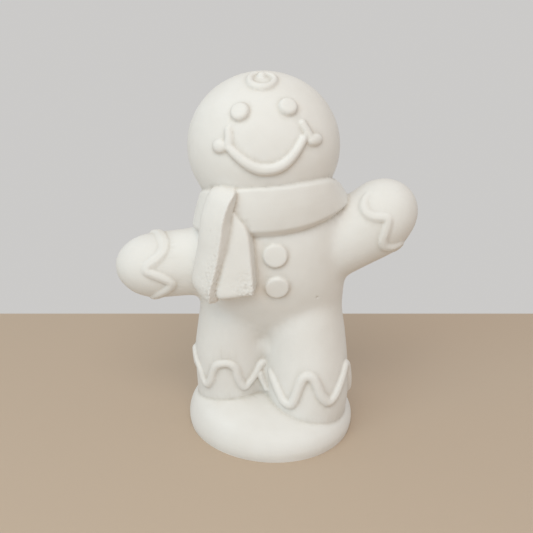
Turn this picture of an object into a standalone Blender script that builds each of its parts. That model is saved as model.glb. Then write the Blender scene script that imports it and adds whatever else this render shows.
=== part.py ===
"""Gingerbread man figurine: one solid of unglazed white ceramic.

A round-headed gingerbread man with a wrapped scarf stands on a low mound.
The left arm is held out level and the right arm is raised.  Everything is
one body with a flat underside.  +Z is up and the figure faces -Y; the origin
is the centre of the underside.  Units are metres.
"""
import math

import bmesh
import bpy
from mathutils import Matrix, Vector
from mathutils.bvhtree import BVHTree

MM = 0.001

# ---------------------------------------------------------------- dimensions
BASE_CENTRE = (2.2 * MM, 0.4 * MM)      # becomes the origin at the end
BASE_RADIUS = 37.7 * MM        # mean radius on the table
BASE_TOP = 16.0 * MM           # height of the mound's shoulder
BASE_SLOPE = 0.13              # the mound rises towards the level-arm side
BASE_LOBES = ((2, 0.62, 17.0), (3, 0.46, 20.0))   # hand-pressed outline: order,
                               # size in mm, direction in degrees from the front

HEAD_CENTRE = (-1.2, 0.0, 130.2)
HEAD_SEMI = (32.2, 28.4, 30.8)

LEVEL_HAND = (-48.3, 0.0, 76.7)     # end of the level arm's axis
LEVEL_SHOULDER = (-12.0, 0.0, 80.8)
LEVEL_R = (14.6, 15.4)              # at the hand and at the shoulder
LEVEL_TIP = 18.5                    # the hand is drawn out this far along x
RAISED_HAND = (47.0, 0.0, 96.9)
RAISED_SHOULDER = (8.0, 0.0, 77.2)
RAISED_R = (15.7, 16.8)
RAISED_MITT = (48.6, 0.0, 99.6)     # centre and half sizes of the raised round hand
RAISED_MITT_SEMI = (17.6, 15.6, 15.3)
RAISED_MITT_TILT = 38.0             # degrees above the horizontal
ARM_DEPTH = 0.97                    # arms are slightly thinner front to back

BUTTON_RADIUS = 5.3
BUTTONS = ((3.6, 90.2), (4.4, 75.9))        # x, z
EYE_RADIUS = 3.85
EYES = ((-20.4, 35.9), (22.8, 39.9))        # azimuth, elevation on the head
LEG_BEAD = ((2.0, 0.45), (2.4, 0.6))        # radius, depth of its centre line, for each leg
ARM_BEAD = ((3.4, 2.3), (2.6, 1.45))
SMILE_RADIUS = 2.5

SOFT_VOXEL = 1.2 * MM          # mesh for the body's broad forms
SOFT_STEPS = 40
FINE_VOXEL = 0.85 * MM         # mesh for the scarf, icing and face
FINE_STEPS = 3
TRIANGLES = 9300

COLOUR = (0.86, 0.84, 0.79, 1.0)
ROUGHNESS = 0.9


# ------------------------------------------------------------------- helpers
def new_object(name, mesh):
    obj = bpy.data.objects.new(name, mesh)
    WORK.objects.link(obj)
    return obj


def from_bmesh(name, bm):
    mesh = bpy.data.meshes.new(name)
    bm.normal_update()
    bm.to_mesh(mesh)
    bm.free()
    return new_object(name, mesh)


def ball(name, centre, semi, turn=None):
    """Ellipsoid with its centre and semi-axes in millimetres."""
    place = Matrix.Translation(Vector(centre) * MM)
    if turn is not None:
        place = place @ turn
    place = place @ Matrix.Diagonal((semi[0] * MM, semi[1] * MM, semi[2] * MM, 1.0))
    bm = bmesh.new()
    bmesh.ops.create_uvsphere(bm, u_segments=64, v_segments=40, radius=1.0, matrix=place)
    return from_bmesh(name, bm)


def turned(name, profile, steps=96):
    """Closed turned solid; the profile runs from the top of the axis down."""
    bm = bmesh.new()
    verts = [bm.verts.new((r * MM, 0.0, z * MM)) for r, z in profile]
    for a, b in zip(verts, verts[1:]):
        bm.edges.new((a, b))
    obj = from_bmesh(name, bm)
    screw = obj.modifiers.new("turn", 'SCREW')
    screw.axis = 'Z'
    screw.steps = steps
    screw.render_steps = steps
    screw.use_merge_vertices = True
    screw.merge_threshold = 0.00001
    return applied(obj)


def applied(obj):
    """The object's evaluated mesh as a plain object."""
    graph = bpy.context.evaluated_depsgraph_get()
    mesh = bpy.data.meshes.new_from_object(obj.evaluated_get(graph))
    out = new_object(obj.name + "_made", mesh)
    out.matrix_world = obj.matrix_world
    bpy.data.objects.remove(obj, do_unlink=True)
    return out


def loft(name, rings):
    """Closed solid through rings of equal count (points in millimetres)."""
    bm = bmesh.new()
    rows = [[bm.verts.new(Vector(p) * MM) for p in ring] for ring in rings]
    n = len(rows[0])
    for lower, upper in zip(rows, rows[1:]):
        for i in range(n):
            j = (i + 1) % n
            bm.faces.new((lower[i], lower[j], upper[j], upper[i]))
    bm.faces.new(rows[0][::-1])
    bm.faces.new(rows[-1])
    bmesh.ops.recalc_face_normals(bm, faces=bm.faces[:])
    return from_bmesh(name, bm)


def ellipse(cx, cy, z, rx, ry, count=56, power=2.0):
    """Horizontal (super)ellipse ring in millimetres."""
    ring = []
    for i in range(count):
        a = 2.0 * math.pi * i / count
        c, s = math.cos(a), math.sin(a)
        ring.append((cx + rx * math.copysign(abs(c) ** (2.0 / power), c),
                     cy + ry * math.copysign(abs(s) ** (2.0 / power), s), z))
    return ring


def stack(name, sections, power=2.0, between=4):
    """Loft through horizontal sections (z, cx, cy, rx, ry), smoothed in z."""
    keys = [Vector((s[1], s[2], s[0])) for s in sections]
    radii = [Vector((s[3], s[4], 0.0)) for s in sections]
    centres = smooth_path(keys, between)
    sizes = smooth_path(radii, between)
    return loft(name, [ellipse(c.x, c.y, c.z, max(r.x, 0.2), max(r.y, 0.2), power=power)
                       for c, r in zip(centres, sizes)])


def smooth_path(points, between=6, closed=False):
    """Catmull-Rom curve through the points, as a list of vectors."""
    pts = [Vector(p) for p in points]
    n = len(pts)
    out = []
    for i in range(n if closed else n - 1):
        if closed:
            a, b, c, d = pts[(i - 1) % n], pts[i], pts[(i + 1) % n], pts[(i + 2) % n]
        else:
            a, b, c, d = pts[max(i - 1, 0)], pts[i], pts[i + 1], pts[min(i + 2, n - 1)]
        for k in range(between):
            t = k / between
            out.append(0.5 * ((2.0 * b) + (c - a) * t + (2.0 * a - 5.0 * b + 4.0 * c - d) * t * t
                              + (3.0 * b - a - 3.0 * c + d) * t ** 3))
    if not closed:
        out.append(pts[-1])
    return out


def tube(name, points, radius, closed=False, taper=None, sizes=None):
    """Round tube through the points (metres), with round ends."""
    curve = bpy.data.curves.new(name, 'CURVE')
    curve.dimensions = '3D'
    curve.bevel_depth = radius * MM
    curve.bevel_resolution = 3
    curve.use_fill_caps = not closed
    spline = curve.splines.new('POLY')
    spline.points.add(len(points) - 1)
    spline.use_cyclic_u = closed
    for k, (slot, p) in enumerate(zip(spline.points, points)):
        slot.co = (p.x, p.y, p.z, 1.0)
        slot.radius = sizes[k] if sizes else taper(k / (len(points) - 1)) if taper else 1.0
    wire = bpy.data.objects.new(name, curve)
    WORK.objects.link(wire)
    made = applied(wire)
    bm = bmesh.new()
    bm.from_mesh(made.data)
    bmesh.ops.remove_doubles(bm, verts=bm.verts[:], dist=0.000005)
    if not closed:
        for k in (0, len(points) - 1):
            size = radius * MM * (taper(k / (len(points) - 1)) if taper else 1.0)
            bmesh.ops.create_uvsphere(bm, u_segments=16, v_segments=10, radius=size,
                                      matrix=Matrix.Translation(points[k]))
    bm.to_mesh(made.data)
    bm.free()
    return made


def limb(name, hand, shoulder, radii, depth):
    """Tapered arm with a round end, its axis in the XZ plane."""
    a, b = Vector(hand) * MM, Vector(shoulder) * MM
    r0, r1 = radii[0] * MM, radii[1] * MM
    along = b - a
    turn = along.to_track_quat('Z', 'Y').to_matrix().to_4x4()
    bm = bmesh.new()
    bmesh.ops.create_cone(bm, cap_ends=True, segments=64, radius1=r0, radius2=r1, depth=along.length,
                          matrix=Matrix.Translation((a + b) / 2) @ turn)
    bmesh.ops.create_uvsphere(bm, u_segments=64, v_segments=40, radius=r0, matrix=Matrix.Translation(a))
    bmesh.ops.create_uvsphere(bm, u_segments=64, v_segments=40, radius=r1, matrix=Matrix.Translation(b))
    bmesh.ops.scale(bm, vec=(1.0, depth, 1.0), verts=bm.verts[:])
    return from_bmesh(name, bm)


def fuse(name, objects, voxel, steps):
    """Union of closed solids on a voxel mesh, then softened."""
    bm = bmesh.new()
    for obj in objects:
        part = obj.data.copy()
        part.transform(obj.matrix_world)
        bm.from_mesh(part)
        bpy.data.meshes.remove(part)
    for obj in objects:
        bpy.data.objects.remove(obj, do_unlink=True)
    joined = from_bmesh(name, bm)
    remesh = joined.modifiers.new("voxel", 'REMESH')
    remesh.mode = 'VOXEL'
    remesh.voxel_size = voxel
    remesh.adaptivity = 0.0
    if steps:
        soft = joined.modifiers.new("soften", 'SMOOTH')
        soft.factor = 0.5
        soft.iterations = steps
    return applied(joined)


def surface(obj):
    graph = bpy.context.evaluated_depsgraph_get()
    return BVHTree.FromObject(obj, graph)


# ------------------------------------------------------------- the soft body
def mound():
    """Low round base with a nearly upright rim and a sloping top."""
    t = BASE_TOP / MM
    r = BASE_RADIUS / MM
    profile = [(0.0, t + 3.0), (12.0, t + 2.6), (22.0, t + 1.0), (28.5, t - 0.9),
               (33.0, t - 2.9), (36.0, t - 5.6), (37.6, t - 8.6), (r + 0.6, 4.4), (r + 0.5, 2.0),
               (r, 0.0), (r - 0.5, -4.0), (0.0, -4.0)]
    keys = [Vector((p[0], 0.0, p[1])) for p in profile[:-2]]
    path = [(v.x, v.z) for v in smooth_path(keys, 5)]
    obj = turned("mound", path + list(profile[-2:]))
    for v in obj.data.vertices:
        x, y = v.co.x / MM, v.co.y / MM
        lift = min(max((v.co.z / MM - 3.0) / 8.0, 0.0), 1.0)
        rim = 1.0 - 0.4 * min(math.hypot(x, y) / r, 1.0) ** 6
        v.co.z -= BASE_SLOPE * 18.0 * math.tanh((x + 9.9) / 18.0) * rim * lift * MM
        around = math.atan2(x, -y)
        size = 1.0 + sum(high / r * math.cos(order * (around - math.radians(towards)))
                         for order, high, towards in BASE_LOBES)
        v.co.x = v.co.x * size + BASE_CENTRE[0]
        v.co.y = v.co.y * size + BASE_CENTRE[1]
    return obj


TORSO = (            # z, centre x, centre y, half width, half depth
    (43.0, 2.0, 1.0, 20.0, 8.0),
    (48.0, 2.0, 0.9, 27.0, 12.0),
    (56.0, 2.0, 0.6, 31.2, 16.6),
    (64.0, 2.1, 0.2, 32.0, 20.4),
    (72.0, 2.1, 0.0, 32.1, 23.0),
    (80.0, 2.0, 0.0, 32.0, 24.6),
    (90.0, 1.5, 0.0, 31.3, 25.0),
    (100.0, 1.0, 0.0, 30.5, 23.6),
    (108.0, 0.8, 0.0, 28.5, 20.5),
    (116.0, 0.5, 0.0, 25.0, 17.0),
)
LEG_A = (            # under the level arm
    (4.0, -16.0, 2.4, 15.0, 15.8),
    (16.0, -16.0, 2.4, 16.1, 16.8),
    (26.0, -16.1, 2.1, 16.5, 17.7),
    (36.0, -16.0, 2.1, 16.8, 18.5),
    (46.0, -15.4, 2.2, 16.1, 18.9),
    (56.0, -14.5, 2.2, 15.6, 18.7),
    (64.0, -13.4, 1.6, 14.6, 16.2),
    (71.0, -12.6, 1.4, 9.0, 10.5),
)
LEG_B = (            # under the raised arm, a little further forward
    (2.0, 18.5, -6.0, 16.3, 19.2),
    (10.0, 18.5, -6.0, 17.6, 20.2),
    (17.0, 18.7, -5.8, 18.5, 20.7),
    (24.0, 18.7, -5.2, 18.6, 20.8),
    (34.0, 18.5, -3.8, 18.4, 20.4),
    (45.0, 17.7, -1.8, 17.9, 19.8),
    (55.0, 16.8, 0.2, 17.4, 19.4),
    (65.0, 16.2, 1.3, 16.0, 17.4),
    (72.0, 15.6, 1.5, 9.5, 11.5),
)


def soft_body():
    forms = [
        ball("head", HEAD_CENTRE, HEAD_SEMI),
        stack("torso", TORSO, power=2.25),
        stack("leg_a", LEG_A),
        stack("leg_b", LEG_B),
        limb("arm_level", LEVEL_HAND, LEVEL_SHOULDER, LEVEL_R, ARM_DEPTH),
        ball("hand_level", LEVEL_HAND, (LEVEL_TIP, LEVEL_R[0] * ARM_DEPTH, LEVEL_R[0])),
        limb("arm_raised", RAISED_HAND, RAISED_SHOULDER, RAISED_R, ARM_DEPTH),
        ball("hand_raised", RAISED_MITT, RAISED_MITT_SEMI,
             Matrix.Rotation(math.radians(-RAISED_MITT_TILT), 4, 'Y')),
        ball("between_legs", (1.2, -0.1, 44.0), (11.0, 11.5, 12.0)),
        ball("seat", (1.2, 6.0, 54.0), (10.5, 9.5, 14.0)),
        ball("crotch", (0.2, 0.0, 27.0), (7.5, 10.5, 16.0)),
    ]
    return fuse("body", forms, SOFT_VOXEL, SOFT_STEPS)


# ------------------------------------------------------------------ the scarf
BAND = (             # angle from the front, radius and height of the lower lip, then of the top
    (-180.0, 25.5, 99.5, 22.5, 112.5),
    (-135.0, 28.5, 98.0, 25.2, 111.5),
    (-108.0, 31.0, 96.6, 26.6, 110.4),
    (-90.0, 31.8, 96.8, 27.1, 110.9),
    (-68.0, 31.8, 97.6, 29.2, 114.0),
    (-40.0, 29.2, 99.8, 28.8, 117.6),
    (-15.0, 27.6, 101.0, 27.6, 119.0),
    (12.0, 27.6, 101.8, 27.7, 119.8),
    (35.0, 29.8, 103.4, 28.8, 120.3),
    (60.0, 32.6, 105.6, 30.2, 119.6),
    (80.0, 34.6, 106.8, 30.4, 116.8),
    (100.0, 35.0, 106.6, 29.6, 114.8),
    (130.0, 31.0, 103.5, 25.8, 114.0),
    (155.0, 27.5, 100.8, 23.2, 113.0),
)


def band():
    """Scarf band around the neck: one closed ring of lofted sections."""
    keys = [Vector((b[1], b[2], 0.0)) for b in BAND]
    tops = [Vector((b[3], b[4], 0.0)) for b in BAND]
    lows = smooth_path(keys, 8, closed=True)
    highs = smooth_path(tops, 8, closed=True)
    angles = []
    for i, b in enumerate(BAND):
        nxt = BAND[(i + 1) % len(BAND)][0]
        if nxt < b[0]:
            nxt += 360.0
        angles += [b[0] + (nxt - b[0]) * k / 8 for k in range(8)]
    rings = []
    for a, lo, hi in zip(angles, lows, highs):
        r0, z0, r1, z1 = lo.x, lo.y, hi.x, hi.y
        shape = [(r0 - 9.0, z0 - 3.6), (r0 - 3.6, z0 - 3.5), (r0 - 2.0, z0 - 2.0),
                 (r0 - 0.4, z0 - 0.4), (r0, z0 + 0.5)]
        bulge = 0.3 + 0.6 * max(0.0, math.cos(math.radians(a)))
        for k in range(1, 6):                      # softly bulging outer face
            t = k / 6.0
            shape.append((r0 + (r1 - r0) * t + bulge * math.sin(math.pi * t), z0 + 0.5 + (z1 - z0 - 0.5) * t))
        shape += [(r1 + 0.2, z1 - 1.0), (r1 - 1.2, z1 + 0.3), (r1 - 9.0, z1 - 3.0)]
        s, c = math.sin(math.radians(a)), math.cos(math.radians(a))
        rings.append([(r * s, -r * c, z) for r, z in shape])
    bm = bmesh.new()
    rows = [[bm.verts.new(Vector(p) * MM) for p in ring] for ring in rings]
    n = len(rows[0])
    for i, row in enumerate(rows):
        after = rows[(i + 1) % len(rows)]
        for j in range(n):
            k = (j + 1) % n
            bm.faces.new((row[j], row[k], after[k], after[j]))
    bmesh.ops.recalc_face_normals(bm, faces=bm.faces[:])
    return from_bmesh("band", bm)


TAIL_A = (           # z, outer edge x and y, ridge x and y, foot of the side face x and y
    (118.6, -19.2, -20.8, -13.0, -25.0, -11.8, -22.0),
    (117.8, -21.0, -21.6, -12.4, -28.0, -11.5, -24.2),
    (116.5, -22.6, -22.5, -12.7, -29.5, -11.8, -25.5),
    (113.5, -24.3, -23.1, -14.5, -31.0, -12.5, -27.1),
    (107.0, -26.5, -23.8, -16.6, -32.0, -14.1, -28.0),
    (100.0, -27.5, -23.8, -17.7, -32.3, -14.8, -28.6),
    (92.0, -28.5, -23.4, -19.0, -32.3, -16.1, -29.0),
    (84.0, -30.3, -23.0, -20.8, -32.3, -18.3, -29.0),
    (78.0, -31.2, -22.8, -22.3, -32.2, -20.0, -29.0),
    (74.0, -29.5, -23.0, -22.8, -31.6, -20.4, -28.6),
    (72.0, -27.6, -23.4, -22.8, -30.6, -20.2, -27.8),
    (70.8, -25.6, -24.0, -22.8, -29.4, -19.9, -26.6),
    (70.2, -24.4, -24.2, -22.6, -28.0, -20.4, -25.8),
)
TAIL_B = (           # the piece behind it, towards the buttons
    (109.0, -14.6, -25.6, -12.8, -26.9, -12.0, -24.8),
    (107.0, -15.0, -26.0, -11.5, -27.4, -10.6, -24.8),
    (104.5, -16.0, -26.6, -9.7, -28.0, -9.0, -25.0),
    (102.0, -17.0, -27.0, -8.2, -28.5, -7.4, -25.0),
    (98.0, -18.0, -27.6, -7.0, -29.2, -6.0, -25.0),
    (92.0, -19.0, -28.4, -6.3, -30.0, -5.1, -25.1),
    (84.0, -20.0, -29.2, -5.6, -31.0, -4.5, -25.2),
    (77.5, -20.6, -29.9, -5.2, -32.0, -4.2, -25.2),
    (75.3, -20.4, -29.9, -5.2, -32.0, -4.3, -25.0),
    (73.9, -19.6, -29.0, -5.5, -31.0, -4.6, -24.8),
)


def tail(name, rows, swell, lean):
    """Hanging end of the scarf: a thick slab with a rounded front."""
    span = smooth_path([Vector((r[0], r[1], r[2])) for r in rows], 5)
    ridge = smooth_path([Vector((r[0], r[3], r[4])) for r in rows], 5)
    side = smooth_path([Vector((r[0], r[5], r[6])) for r in rows], 5)
    rings = []
    for o, m, f in zip(span, ridge, side):
        ring = [(o.y + 3.0, -12.0), (o.y + 0.5, o.z + 4.5), (o.y, o.z + 1.8), (o.y + 0.5, o.z - 0.4)]
        for k in range(1, 7):
            t = k / 7.0
            bow = swell * math.sin(math.pi * t) + 0.6 * (1.0 - t)
            ring.append((o.y + 0.5 + (m.y - o.y - 0.5) * t, o.z - 0.4 + (m.z - o.z + 0.4) * t - bow))
        ring += [(m.y - 0.8, m.z - 0.1), (m.y - 0.1, m.z + 0.4), (f.y, f.z), (f.y + 0.4, -12.0)]
        rings.append([(x, y, o.x + lean * (x + 12.0)) for x, y in ring])
    return loft(name, rings)


# ------------------------------------------------- raised icing, face, buttons
def leg_axis(leg, z):
    """Centre and half sizes of a leg at a height, in millimetres."""
    for lower, upper in zip(leg, leg[1:]):
        if lower[0] <= z <= upper[0]:
            t = (z - lower[0]) / (upper[0] - lower[0])
            return [lower[k] + (upper[k] - lower[k]) * t for k in range(1, 5)]
    return list(leg[-1][1:])


def wrapped(wave):
    """Smooth closed path through the turning points once around.

    A turning point is an angle, a value, how far the bead is sunk into the
    surface there and its size relative to the bead's radius; the last two
    may be left off.
    """
    turn = 360.0 if wave[-1][0] > wave[0][0] else -360.0
    full = [Vector(tuple(w) + (0.0, 1.0)[len(w) - 2:]) for w in wave]
    step = Vector((turn, 0.0, 0.0, 0.0))
    keys = [full[-1] - step] + full + [w + step for w in full[:2]]
    return smooth_path(keys, 8)[8:-9]


def leg_icing(name, tree, leg, wave, bead):
    """Closed wavy bead around a leg from (angle, height) turning points."""
    points, sizes = [], []
    for p in wrapped(wave):
        sizes.append(p.w)
        cx, cy, rx, ry = leg_axis(leg, p.y)
        a = math.radians(p.x)
        s, c = math.sin(a), -math.cos(a)
        reach = 1.0 / math.hypot(s / rx, c / ry)
        start = Vector((cx, cy, p.y)) * MM
        hit = tree.ray_cast(start, Vector((s, c, 0.0)), 1.12 * reach * MM)
        out = Vector((s, c, 0.0))
        if hit[0] is not None and (hit[0] - start).length > 0.8 * reach * MM:
            points.append(hit[0] - out * (bead[1] + p.z) * MM)
        else:
            points.append(start + out * (reach - bead[1] - p.z) * MM)
    return tube(name, points, bead[0], closed=True, sizes=sizes)


def arm_icing(name, tree, hand, shoulder, wave, bead):
    """Closed wavy bead around a wrist from (angle, distance) turning points.

    The angle is 0 at the front and grows upwards; the distance runs from
    the centre of the hand towards the shoulder.
    """
    a, b = Vector(hand), Vector(shoulder)
    along = (b - a).normalized()
    front = Vector((0.0, -1.0, 0.0))
    up = front.cross(along)
    if up.z < 0:
        up = -up
    points, sizes = [], []
    for p in wrapped(wave):
        sizes.append(p.w)
        t = math.radians(p.x)
        out = front * math.cos(t) + up * math.sin(t)
        start = (a + along * p.y) * MM
        hit = tree.ray_cast(start, out, 0.03)
        points.append((hit[0] if hit[0] is not None else start + out * 16.0 * MM)
                      - out * (bead[1] + p.z) * MM)
    return tube(name, points, bead[0], closed=True, sizes=sizes)


def on_head(tree, azimuth, elevation):
    """Point and outward normal on the head."""
    a, e = math.radians(azimuth), math.radians(elevation)
    n = Vector((math.sin(a) * math.cos(e) * HEAD_SEMI[0], -math.cos(a) * math.cos(e) * HEAD_SEMI[1],
                math.sin(e) * HEAD_SEMI[2]))
    centre = Vector(HEAD_CENTRE) * MM
    hit = tree.ray_cast(centre, n.normalized(), 0.06)
    return hit[0], hit[1]


def pad(name, point, normal, radius, height, rim=0.75):
    """Low round-edged disc standing on the surface."""
    profile = [(0.0, height), (radius * rim * 0.6, height * 0.97), (radius * rim, height * 0.86),
               (radius * 0.93, height * 0.5), (radius, -0.4), (radius * 0.98, -2.5), (0.0, -2.5)]
    keys = [Vector((p[0], 0.0, p[1])) for p in profile[:-2]]
    path = [(v.x, v.z) for v in smooth_path(keys, 4)] + profile[-2:]
    obj = turned(name, path, 48)
    obj.matrix_world = Matrix.Translation(point) @ normal.to_track_quat('Z', 'Y').to_matrix().to_4x4()
    return obj


SMILE = ((-24.7, 9.1), (-18.8, 4.1), (-11.2, -1.6), (-3.9, -5.1), (2.6, -5.8), (9.5, -4.5),
         (16.0, -1.0), (22.2, 5.1), (29.8, 14.8))
CHEEKS = ((-32.6, 9.4, 3.2, 2.7), (39.9, 13.4, 4.0, 2.4))     # azimuth, elevation, half sizes
TICKS = (((-27.4, 21.4), (-25.9, 16.7), (-25.5, 11.8)), ((32.2, 26.5), (34.4, 20.9), (36.5, 15.0)))
CURL = ((-2.6, 7.0), (-4.2, 5.4), (-5.0, 2.4), (-4.4, -0.9), (-2.3, -3.2), (0.3, -3.8),
        (2.8, -2.8), (4.6, -0.1), (4.8, 2.7), (3.5, 4.9), (1.4, 5.4), (-0.3, 4.2))
CURL_AT = (-2.1, 66.8)         # azimuth, elevation of the curl's centre
DRIP = ((-2.9, 28.6), (-2.1, 26.4), (-1.1, 23.9), (-0.1, 21.4))     # x, z in the crotch

WAVE_A = ((-80, 36.6), (-67, 33.7), (-54, 29.9), (-46, 25.2), (-39, 23.6), (-31, 26.5), (-26, 31.1),
          (-20, 34.6), (-11, 36.2), (-1, 36.3), (7, 33.9), (11, 29.4), (17, 25.4), (23, 23.7),
          (30, 25.8), (35, 27.4), (43, 30.9), (49, 33.6), (59, 33.0, 1.6), (76, 26.0, 3.2), (101, 33.5, 2.0),
          (126, 24.0), (154, 35.5), (180, 24.5), (205, 35.0), (230, 33.0), (248, 24.5), (260, 26.5),
          (271, 33.0))
WAVE_B = ((-80, 28.0, 3.2), (-68, 30.6, 1.7), (-60, 30.1, 0.5), (-49, 27.2), (-42, 24.3), (-35, 21.6),
          (-28, 20.4), (-22, 21.1), (-18, 23.8), (-13, 28.8), (-8, 32.7), (-2, 34.1), (5, 32.9),
          (10, 29.4), (15, 25.1), (24, 21.8), (33, 23.0), (43, 26.9), (52, 30.7), (62, 34.0),
          (72, 32.0), (82, 25.5), (93, 19.0), (107, 22.5), (124, 33.5), (147, 21.5), (171, 34.0),
          (196, 21.5), (220, 34.0, 0.8), (244, 21.5, 2.0), (266, 24.5, 3.0))
WAVE_LEVEL = ((97, 2.9, -0.1), (76, 4.8), (59, 5.9), (45, 5.5), (34, 3.4), (26, 0.6),
              (18, -1.8, -0.3, 0.9), (10, -2.0, -0.8, 0.78), (4, 0.2, -0.8, 0.78), (-4, 3.3, -0.8, 0.78),
              (-11, 5.9, -0.8, 0.78), (-19, 7.2, -0.8, 0.78), (-31, 5.2, -0.8, 0.78), (-43, 1.5, -0.8, 0.78),
              (-56, -1.3, -0.8, 0.78), (-69, -2.2, -0.7, 0.78), (-90, 1.0, -0.5, 0.8), (-112, 4.5),
              (-135, 0.5), (-156, -2.5), (-180, 3.0), (-204, 4.5), (-226, -0.5), (-245, 0.5, -0.4))
WAVE_RAISED = ((82, -6.4, 1.5), (69, -3.1, 0.9), (58, -0.3, 0.3), (48, 1.2), (37, 1.2), (27, -0.8),
               (21, -3.6), (14, -5.2), (5, -3.9), (-5, -1.9), (-15, 0.2), (-26, 0.9), (-37, -0.4),
               (-45, -2.6), (-53, -4.9, 0.3), (-69, -4.6, 0.6), (-88, -1.0, 0.4), (-108, 1.5),
               (-132, -4.0), (-155, -5.0), (-178, 0.5), (-205, 0.5), (-226, -4.0, 0.6),
               (-247, -6.5, 1.5), (-263, -7.2, 1.7))


def details(body):
    tree = surface(body)
    made = [
        leg_icing("icing_leg_a", tree, LEG_A, WAVE_A, LEG_BEAD[0]),
        leg_icing("icing_leg_b", tree, LEG_B, WAVE_B, LEG_BEAD[1]),
        arm_icing("icing_level", tree, LEVEL_HAND, LEVEL_SHOULDER, WAVE_LEVEL, ARM_BEAD[0]),
        arm_icing("icing_raised", tree, RAISED_HAND, RAISED_SHOULDER, WAVE_RAISED, ARM_BEAD[1]),
    ]
    drip = []
    for p in smooth_path([Vector((x, z, 0.0)) for x, z in DRIP], 5):
        hit = tree.ray_cast(Vector((p.x * MM, -0.08, p.y * MM)), Vector((0.0, 1.0, 0.0)), 0.2)
        drip.append(hit[0] - Vector((0.0, 0.4, 0.0)) * MM)
    made.append(tube("icing_drip", drip, 1.55, taper=lambda t: 1.0 - 0.2 * t))
    smile = [on_head(tree, p.x, p.y)[0] for p in smooth_path([Vector((a, e, 0.0)) for a, e in SMILE], 6)]
    made.append(tube("smile", smile, SMILE_RADIUS,
                     taper=lambda t: 0.72 + 0.28 * math.sin(math.pi * t)))
    for k, (azimuth, elevation, wide, tall) in enumerate(CHEEKS):
        point, normal = on_head(tree, azimuth, elevation)
        lump = ball("cheek_%d" % k, (0.0, 0.0, 0.0), (wide, tall, 1.9))
        lump.matrix_world = Matrix.Translation(point) @ normal.to_track_quat('Z', 'Y').to_matrix().to_4x4()
        made.append(lump)
    for k, keys in enumerate(TICKS):
        line = []
        for p in smooth_path([Vector((a, e, 0.0)) for a, e in keys], 5):
            point, normal = on_head(tree, p.x, p.y)
            line.append(point - normal * 0.4 * MM)
        made.append(tube("tick_%d" % k, line, 2.0, taper=lambda t: 0.85 + 0.15 * t))
    for k, (azimuth, elevation) in enumerate(EYES):
        point, normal = on_head(tree, azimuth, elevation)
        made.append(pad("eye_%d" % k, point, normal, EYE_RADIUS, 2.2, rim=0.74))
    point, normal = on_head(tree, *CURL_AT)
    right = Vector((1.0, 0.0, 0.0))
    back = normal.cross(right).normalized()
    if back.y < 0:
        back = -back
    ring = []
    for p in smooth_path([Vector((x, y, 0.0)) for x, y in CURL], 5):
        over = point + (right * p.x + back * p.y) * MM + normal * 0.01
        hit = tree.ray_cast(over, -normal, 0.03)
        ring.append(hit[0])
    made.append(tube("curl", ring, 1.45, taper=lambda t: 0.85 + 0.4 * math.exp(-((t - 0.42) / 0.18) ** 2)
                     + 0.4 * t ** 8))
    for k, (x, z) in enumerate(BUTTONS):
        hit = tree.ray_cast(Vector((x * MM, -0.08, z * MM)), Vector((0.0, 1.0, 0.0)), 0.2)
        made.append(pad("button_%d" % k, hit[0], hit[1], BUTTON_RADIUS, 1.6, rim=0.86))
    return made


# --------------------------------------------------------------------- finish
def largest_shell(obj):
    """Keep the biggest connected piece of the mesh."""
    bm = bmesh.new()
    bm.from_mesh(obj.data)
    left = set(bm.verts)
    best = []
    while left:
        seed = left.pop()
        group, queue = [seed], [seed]
        while queue:
            for edge in queue.pop().link_edges:
                for v in edge.verts:
                    if v in left:
                        left.discard(v)
                        group.append(v)
                        queue.append(v)
        if len(group) > len(best):
            best = group
    keep = set(best)
    bmesh.ops.delete(bm, geom=[v for v in bm.verts if v not in keep], context='VERTS')
    bm.to_mesh(obj.data)
    bm.free()


def thin_out(obj, count):
    """Reduce to about this many triangles."""
    total = sum(len(p.vertices) - 2 for p in obj.data.polygons)
    reduce = obj.modifiers.new("reduce", 'DECIMATE')
    reduce.decimate_type = 'COLLAPSE'
    reduce.ratio = min(1.0, count / total)
    reduce.use_collapse_triangulate = True
    return applied(obj)


def flat_underside(obj):
    """Cut the body off exactly at the table."""
    bm = bmesh.new()
    bm.from_mesh(obj.data)
    cut = bmesh.ops.bisect_plane(bm, geom=bm.verts[:] + bm.edges[:] + bm.faces[:], dist=0.00008,
                                 plane_co=(0, 0, 0), plane_no=(0, 0, -1), clear_outer=True)
    rim = [v for v in cut['geom_cut'] if isinstance(v, bmesh.types.BMVert)]
    for v in rim:
        v.co.z = 0.0
    bmesh.ops.remove_doubles(bm, verts=rim, dist=0.00015)
    edges = [e for e in bm.edges if e.is_boundary]
    bmesh.ops.contextual_create(bm, geom=edges)
    bmesh.ops.recalc_face_normals(bm, faces=bm.faces[:])
    bmesh.ops.triangulate(bm, faces=bm.faces[:])
    bmesh.ops.translate(bm, verts=bm.verts[:], vec=(-BASE_CENTRE[0], -BASE_CENTRE[1], 0.0))
    bm.to_mesh(obj.data)
    bm.free()


def ceramic():
    material = bpy.data.materials.new("bisque")
    material.use_nodes = True
    shader = next(n for n in material.node_tree.nodes if n.type == 'BSDF_PRINCIPLED')
    shader.inputs["Base Color"].default_value = COLOUR
    shader.inputs["Roughness"].default_value = ROUGHNESS
    shader.inputs["Metallic"].default_value = 0.0
    return material


for old in list(bpy.data.objects):
    bpy.data.objects.remove(old, do_unlink=True)

WORK = bpy.data.collections.new("gingerbread_man_figurine")
bpy.context.scene.collection.children.link(WORK)

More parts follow.
